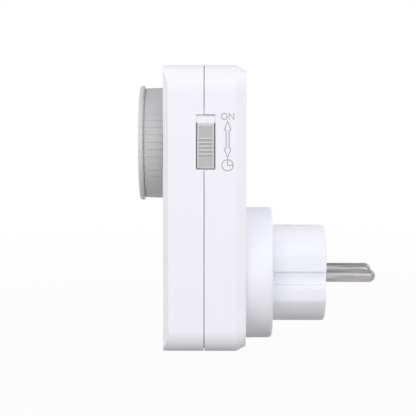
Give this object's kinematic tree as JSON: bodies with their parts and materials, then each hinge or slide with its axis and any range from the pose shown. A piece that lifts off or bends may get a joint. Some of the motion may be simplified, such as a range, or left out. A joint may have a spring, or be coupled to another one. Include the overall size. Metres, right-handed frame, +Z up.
{
  "type": "plug-in timer switch",
  "caption": "Plug-in mechanical timer with a segment dial and socket on the front, a slide switch on the side and a round-pin plug behind.",
  "frame": {"origin": "centre of the plug body's end face, on the plug's axis", "axes": "+Y along the plug pins, away from the housing; +Z up the housing's height; +X towards the slide switch; the dial faces -Y"},
  "size_m": [0.0603, 0.0896, 0.1066],
  "materials": {
    "shell": "bluish white moulded plastic, satin",
    "insert": "bluish white moulded plastic, satin",
    "inner_white": "natural moulded plastic",
    "tappet": "grey moulded plastic, satin",
    "drum": "grey moulded plastic",
    "face": "white disc with printed hours",
    "knob": "grey moulded plastic, satin",
    "gear": "natural acetal",
    "lever": "orange moulded plastic",
    "pin": "nickel-plated brass",
    "contact_brass": "stamped brass strip",
    "silver": "silver contact button",
    "steel": "zinc-plated steel",
    "can": "drawn steel can",
    "pinion": "cut brass"
  },
  "bodies": {
    "housing": {"front_cover": "shell", "rear_cover": "shell", "plug_body": "shell", "socket_insert": "insert", "housing_screws": "steel", "live_pin": "pin", "neutral_pin": "pin", "shutter_spring": "steel", "contact_carrier": "inner_white", "live_socket_contact": "contact_brass", "neutral_socket_contact": "contact_brass", "earth_strap": "contact_brass", "live_bar": "contact_brass", "neutral_bar": "contact_brass", "load_bar": "contact_brass", "fixed_contact": "silver", "lever_pin": "steel", "movement_plate": "inner_white", "plate_screws": "steel", "dial_stud": "steel", "dial_clip": "steel", "idler_stud": "steel", "motor_front": "can", "motor_can": "can", "motor_screws": "steel"},
    "dial": {"dial_drum": "drum", "dial_gear": "gear", "dial_face": "face", "dial_cap": "knob", "tappet_set": "tappet"},
    "tappet_01": {"tappet_01": "tappet"},
    "tappet_02": {"tappet_02": "tappet"},
    "tappet_03": {"tappet_03": "tappet"},
    "tappet_04": {"tappet_04": "tappet"},
    "tappet_05": {"tappet_05": "tappet"},
    "tappet_06": {"tappet_06": "tappet"},
    "tappet_07": {"tappet_07": "tappet"},
    "tappet_08": {"tappet_08": "tappet"},
    "tappet_09": {"tappet_09": "tappet"},
    "tappet_10": {"tappet_10": "tappet"},
    "tappet_11": {"tappet_11": "tappet"},
    "tappet_12": {"tappet_12": "tappet"},
    "idler": {"idler_gear": "gear"},
    "rotor": {"motor_pinion": "pinion"},
    "slide": {"switch_knob": "knob", "switch_carriage": "inner_white"},
    "lever": {"trip_lever": "lever"},
    "contact": {"contact_arm": "contact_brass"},
    "shutter_slider": {"shutter": "inner_white"}
  },
  "joints": [
    {"name": "dial_turn", "type": "hinge", "parent": "housing", "child": "dial", "pos_m": [0, -0.0612, 0.0501], "axis": [0, 1, 0], "continuous": true},
    {"name": "tappet_01_push", "type": "slide", "parent": "dial", "child": "tappet_01", "axis": [0, 1, 0], "range_m": [0, 0.0028]},
    {"name": "tappet_02_push", "type": "slide", "parent": "dial", "child": "tappet_02", "axis": [0, 1, 0], "range_m": [0, 0.0028]},
    {"name": "tappet_03_push", "type": "slide", "parent": "dial", "child": "tappet_03", "axis": [0, 1, 0], "range_m": [0, 0.0028]},
    {"name": "tappet_04_push", "type": "slide", "parent": "dial", "child": "tappet_04", "axis": [0, 1, 0], "range_m": [0, 0.0028]},
    {"name": "tappet_05_push", "type": "slide", "parent": "dial", "child": "tappet_05", "axis": [0, 1, 0], "range_m": [0, 0.0028]},
    {"name": "tappet_06_push", "type": "slide", "parent": "dial", "child": "tappet_06", "axis": [0, 1, 0], "range_m": [0, 0.0028]},
    {"name": "tappet_07_push", "type": "slide", "parent": "dial", "child": "tappet_07", "axis": [0, 1, 0], "range_m": [0, 0.0028]},
    {"name": "tappet_08_push", "type": "slide", "parent": "dial", "child": "tappet_08", "axis": [0, 1, 0], "range_m": [0, 0.0028]},
    {"name": "tappet_09_push", "type": "slide", "parent": "dial", "child": "tappet_09", "axis": [0, 1, 0], "range_m": [0, 0.0028]},
    {"name": "tappet_10_push", "type": "slide", "parent": "dial", "child": "tappet_10", "axis": [0, 1, 0], "range_m": [0, 0.0028]},
    {"name": "tappet_11_push", "type": "slide", "parent": "dial", "child": "tappet_11", "axis": [0, 1, 0], "range_m": [0, 0.0028]},
    {"name": "tappet_12_push", "type": "slide", "parent": "dial", "child": "tappet_12", "axis": [0, 1, 0], "range_m": [0, 0.0028]},
    {"name": "idler_turn", "type": "hinge", "parent": "housing", "child": "idler", "pos_m": [-0.0099, -0.0612, 0.06], "axis": [0, 1, 0], "continuous": true},
    {"name": "rotor_turn", "type": "hinge", "parent": "housing", "child": "rotor", "pos_m": [-0.0099, -0.0612, 0.0465], "axis": [0, 1, 0], "continuous": true},
    {"name": "switch_slide", "type": "slide", "parent": "housing", "child": "slide", "axis": [0, 0, 1], "range_m": [0, 0.003]},
    {"name": "lever_swing", "type": "hinge", "parent": "housing", "child": "lever", "pos_m": [0.0203, -0.0476, 0.038], "axis": [-1, 0, 0], "range_deg": [0, 5]},
    {"name": "contact_swing", "type": "hinge", "parent": "housing", "child": "contact", "pos_m": [0.0203, -0.0444, 0.034], "axis": [-1, 0, 0], "range_deg": [0, 3.9]},
    {"name": "shutter_slide", "type": "slide", "parent": "housing", "child": "shutter_slider", "axis": [0, 0, -1], "range_m": [0, 0.0064], "stiffness_N_per_m": 60, "springref_m": -0.003, "deforming": ["shutter_spring"]}
  ],
  "couplings": [
    {"joint": "idler_turn", "follows": "dial_turn", "ratio": -3.6667},
    {"joint": "rotor_turn", "follows": "dial_turn", "ratio": 12.833},
    {"joint": "lever_swing", "follows": "switch_slide", "rad_per_m": 29.089},
    {"joint": "contact_swing", "follows": "switch_slide", "rad_per_m": 22.622}
  ]
}
